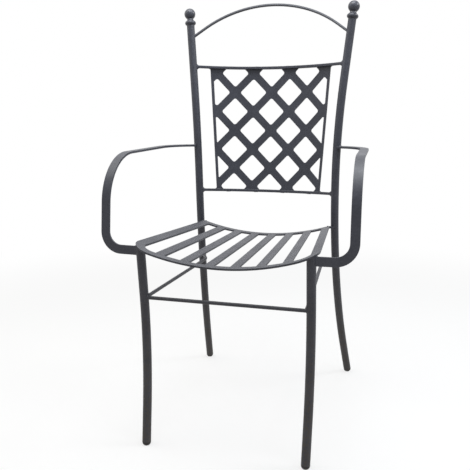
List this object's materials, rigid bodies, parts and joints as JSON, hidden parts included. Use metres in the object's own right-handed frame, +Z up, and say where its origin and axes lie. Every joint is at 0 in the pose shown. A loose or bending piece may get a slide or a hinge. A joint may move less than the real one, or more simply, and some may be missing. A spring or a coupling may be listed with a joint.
{
  "type": "armchair",
  "caption": "Welded wrought iron garden armchair with a bowed diamond lattice back, dished slat seat, flat bar arms and ball finials on tubular rear posts.",
  "frame": {"origin": "on the floor, at the centre of the chair's footprint box", "axes": "+Z up, the sitter faces -Y, +X to the right as seen from the front"},
  "size_m": [0.5854, 0.5826, 1.0546],
  "materials": {
    "powder_coat": "charcoal powder coat, satin, fine mottled texture",
    "glide": "dark moulded plug, matte"
  },
  "bodies": {
    "root": {"arm_left": "powder_coat", "arm_right": "powder_coat", "back_bottom_rail": "powder_coat", "back_top_rail": "powder_coat", "finial_left": "powder_coat", "finial_right": "powder_coat", "front_glide_left": "glide", "front_glide_right": "glide", "front_leg_left": "powder_coat", "front_leg_right": "powder_coat", "front_stretcher": "powder_coat", "lattice_panel": "powder_coat", "rear_glide_left": "glide", "rear_glide_right": "glide", "rear_post_left": "powder_coat", "rear_post_right": "powder_coat", "seat_frame": "powder_coat", "seat_lug_left": "powder_coat", "seat_lug_right": "powder_coat", "seat_slat_1": "powder_coat", "seat_slat_2": "powder_coat", "seat_slat_3": "powder_coat", "seat_slat_4": "powder_coat", "seat_slat_5": "powder_coat", "seat_slat_6": "powder_coat", "side_stretcher_left": "powder_coat", "side_stretcher_right": "powder_coat", "top_arch": "powder_coat"}
  },
  "joints": []
}
